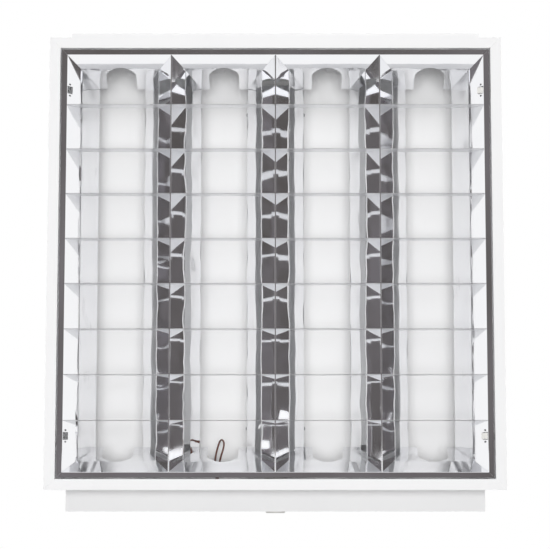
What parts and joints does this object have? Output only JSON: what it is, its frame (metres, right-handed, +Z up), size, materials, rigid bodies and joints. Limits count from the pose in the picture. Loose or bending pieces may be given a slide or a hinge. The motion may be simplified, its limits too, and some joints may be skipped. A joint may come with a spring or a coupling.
{
  "type": "recessed troffer light",
  "caption": "Square recessed ceiling light for a 600 mm grid, with a hinged mirror louvre of V dividers and cross blades over four open lamp lanes.",
  "frame": {"origin": "centre of the square face, on the plane where the flange rests on the ceiling grid", "axes": "+Z up into the ceiling, the louvre faces -Z; Y along the tubes, +Y to the end with the mains cable entry; X across the tubes, the louvre hinges on its -X side"},
  "size_m": [0.595, 0.6432, 0.0905],
  "materials": {
    "white_steel": "matt white powder coat",
    "mirror_aluminium": "specular anodised mirror",
    "white_plastic": "moulded, satin",
    "zinc_steel": "bright zinc plated",
    "brown_wire": "PVC wire insulation",
    "grey_rubber": "matt",
    "gear_case": "satin"
  },
  "bodies": {
    "housing": {"cable_grommet": "white_plastic", "cable_tie": "white_plastic", "catch_brackets": "white_steel", "catch_pins": "zinc_steel", "control_gear": "gear_case", "cover_screws": "zinc_steel", "earth_screw": "zinc_steel", "end_pocket_far": "white_steel", "end_pocket_near": "white_steel", "face_frame_far": "white_steel", "face_frame_left": "white_steel", "face_frame_near": "white_steel", "face_frame_right": "white_steel", "gear_cover": "white_steel", "harness_far": "grey_rubber", "harness_near": "grey_rubber", "hinge_brackets": "white_plastic", "hinge_pins": "zinc_steel", "holder_plates_far": "white_steel", "holder_plates_near": "white_steel", "housing_tray": "white_steel", "lampholder_far_1": "white_plastic", "lampholder_far_2": "white_plastic", "lampholder_far_3": "white_plastic", "lampholder_far_4": "white_plastic", "lampholder_near_1": "white_plastic", "lampholder_near_2": "white_plastic", "lampholder_near_3": "white_plastic", "lampholder_near_4": "white_plastic", "lead_loop": "brown_wire", "pocket_caps": "white_steel", "pocket_rivets": "zinc_steel", "terminal_block": "white_plastic"},
    "louvre": {"cross_blade_1": "mirror_aluminium", "cross_blade_2": "mirror_aluminium", "cross_blade_3": "mirror_aluminium", "cross_blade_4": "mirror_aluminium", "cross_blade_5": "mirror_aluminium", "cross_blade_6": "mirror_aluminium", "cross_blade_7": "mirror_aluminium", "cross_blade_8": "mirror_aluminium", "divider_1": "mirror_aluminium", "divider_2": "mirror_aluminium", "divider_3": "mirror_aluminium", "end_reflector_far": "mirror_aluminium", "end_reflector_near": "mirror_aluminium", "side_reflector_left": "mirror_aluminium", "side_reflector_right": "mirror_aluminium", "hinge_knuckles": "zinc_steel"},
    "catch_near": {"catch_near": "white_plastic"},
    "catch_far": {"catch_far": "white_plastic"},
    "rotor_far_1": {"rotor_far_1": "white_plastic"},
    "rotor_far_2": {"rotor_far_2": "white_plastic"},
    "rotor_far_3": {"rotor_far_3": "white_plastic"},
    "rotor_far_4": {"rotor_far_4": "white_plastic"},
    "rotor_near_1": {"rotor_near_1": "white_plastic"},
    "rotor_near_2": {"rotor_near_2": "white_plastic"},
    "rotor_near_3": {"rotor_near_3": "white_plastic"},
    "rotor_near_4": {"rotor_near_4": "white_plastic"}
  },
  "joints": [
    {"name": "louvre_swing", "type": "hinge", "parent": "housing", "child": "louvre", "pos_m": [-0.279, 0, 0.0045], "axis": [0, 1, 0], "range_deg": [0, 90]},
    {"name": "catch_near_press", "type": "hinge", "parent": "housing", "child": "catch_near", "pos_m": [0.2785, -0.228, 0.027], "axis": [0, -1, 0], "range_deg": [0, 8], "stiffness_Nm_per_rad": 0.05, "springref_deg": -5.73},
    {"name": "catch_far_press", "type": "hinge", "parent": "housing", "child": "catch_far", "pos_m": [0.2785, 0.228, 0.027], "axis": [0, -1, 0], "range_deg": [0, 8], "stiffness_Nm_per_rad": 0.05, "springref_deg": -5.73},
    {"name": "rotor_far_1_turn", "type": "hinge", "parent": "housing", "child": "rotor_far_1", "pos_m": [-0.2061, 0.2955, 0.054], "axis": [0, 1, 0], "range_deg": [0, 90]},
    {"name": "rotor_far_2_turn", "type": "hinge", "parent": "housing", "child": "rotor_far_2", "pos_m": [-0.0687, 0.2955, 0.054], "axis": [0, 1, 0], "range_deg": [0, 90]},
    {"name": "rotor_far_3_turn", "type": "hinge", "parent": "housing", "child": "rotor_far_3", "pos_m": [0.0687, 0.2955, 0.054], "axis": [0, 1, 0], "range_deg": [0, 90]},
    {"name": "rotor_far_4_turn", "type": "hinge", "parent": "housing", "child": "rotor_far_4", "pos_m": [0.2061, 0.2955, 0.054], "axis": [0, 1, 0], "range_deg": [0, 90]},
    {"name": "rotor_near_1_turn", "type": "hinge", "parent": "housing", "child": "rotor_near_1", "pos_m": [-0.2061, -0.2955, 0.054], "axis": [0, 1, 0], "range_deg": [0, 90]},
    {"name": "rotor_near_2_turn", "type": "hinge", "parent": "housing", "child": "rotor_near_2", "pos_m": [-0.0687, -0.2955, 0.054], "axis": [0, 1, 0], "range_deg": [0, 90]},
    {"name": "rotor_near_3_turn", "type": "hinge", "parent": "housing", "child": "rotor_near_3", "pos_m": [0.0687, -0.2955, 0.054], "axis": [0, 1, 0], "range_deg": [0, 90]},
    {"name": "rotor_near_4_turn", "type": "hinge", "parent": "housing", "child": "rotor_near_4", "pos_m": [0.2061, -0.2955, 0.054], "axis": [0, 1, 0], "range_deg": [0, 90]}
  ]
}
